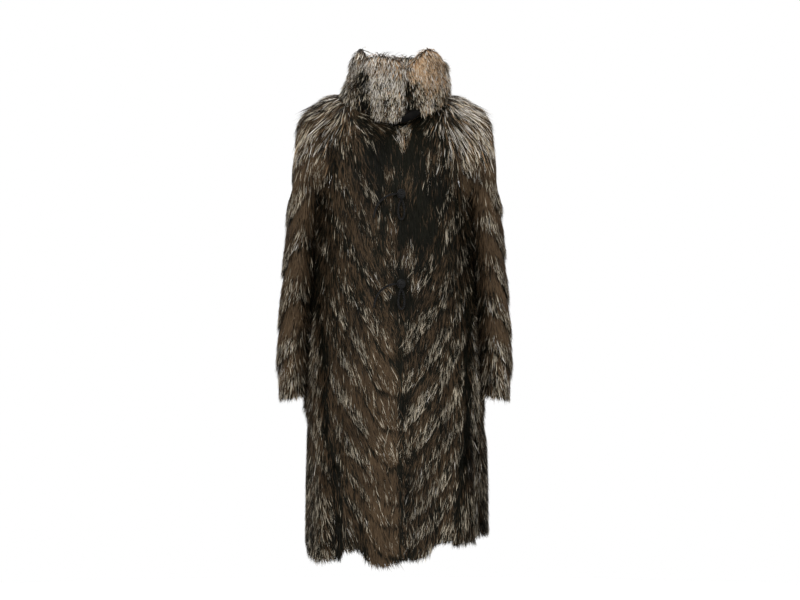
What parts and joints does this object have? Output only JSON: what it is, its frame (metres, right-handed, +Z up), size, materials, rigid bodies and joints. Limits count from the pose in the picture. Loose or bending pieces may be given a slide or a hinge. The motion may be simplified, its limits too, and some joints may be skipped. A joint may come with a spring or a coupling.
{
  "type": "fur coat",
  "caption": "Full-length fur coat with stand-up fur collar and corded front closures, filled out and hollow, held at the neck.",
  "frame": {"origin": "middle of the neck opening, level with the collar seam", "axes": "+Z up, -Y out of the coat's front, +X towards the wearer's left"},
  "size_m": [0.55, 0.3631, 1.2277],
  "materials": {
    "brown_fur": "long silver-tipped dark brown fox fur, satin guard hair over matte underfur",
    "collar_fur": "thick grey and tan fox fur",
    "black_cord": "twisted black silk cord, satin",
    "black_leather": "soft black leather, low sheen"
  },
  "bodies": {
    "root": {"front_right": "brown_fur", "front_left": "brown_fur", "back": "brown_fur", "sleeve_right": "brown_fur", "sleeve_left": "brown_fur", "collar_front_right": "collar_fur", "collar_front_left": "collar_fur", "collar_back": "collar_fur", "knot_upper": "black_cord", "loop_upper": "black_cord", "tie_upper": "black_cord", "knot_lower": "black_cord", "loop_lower": "black_cord", "tie_lower": "black_cord", "neck_strap": "black_leather"}
  },
  "joints": []
}
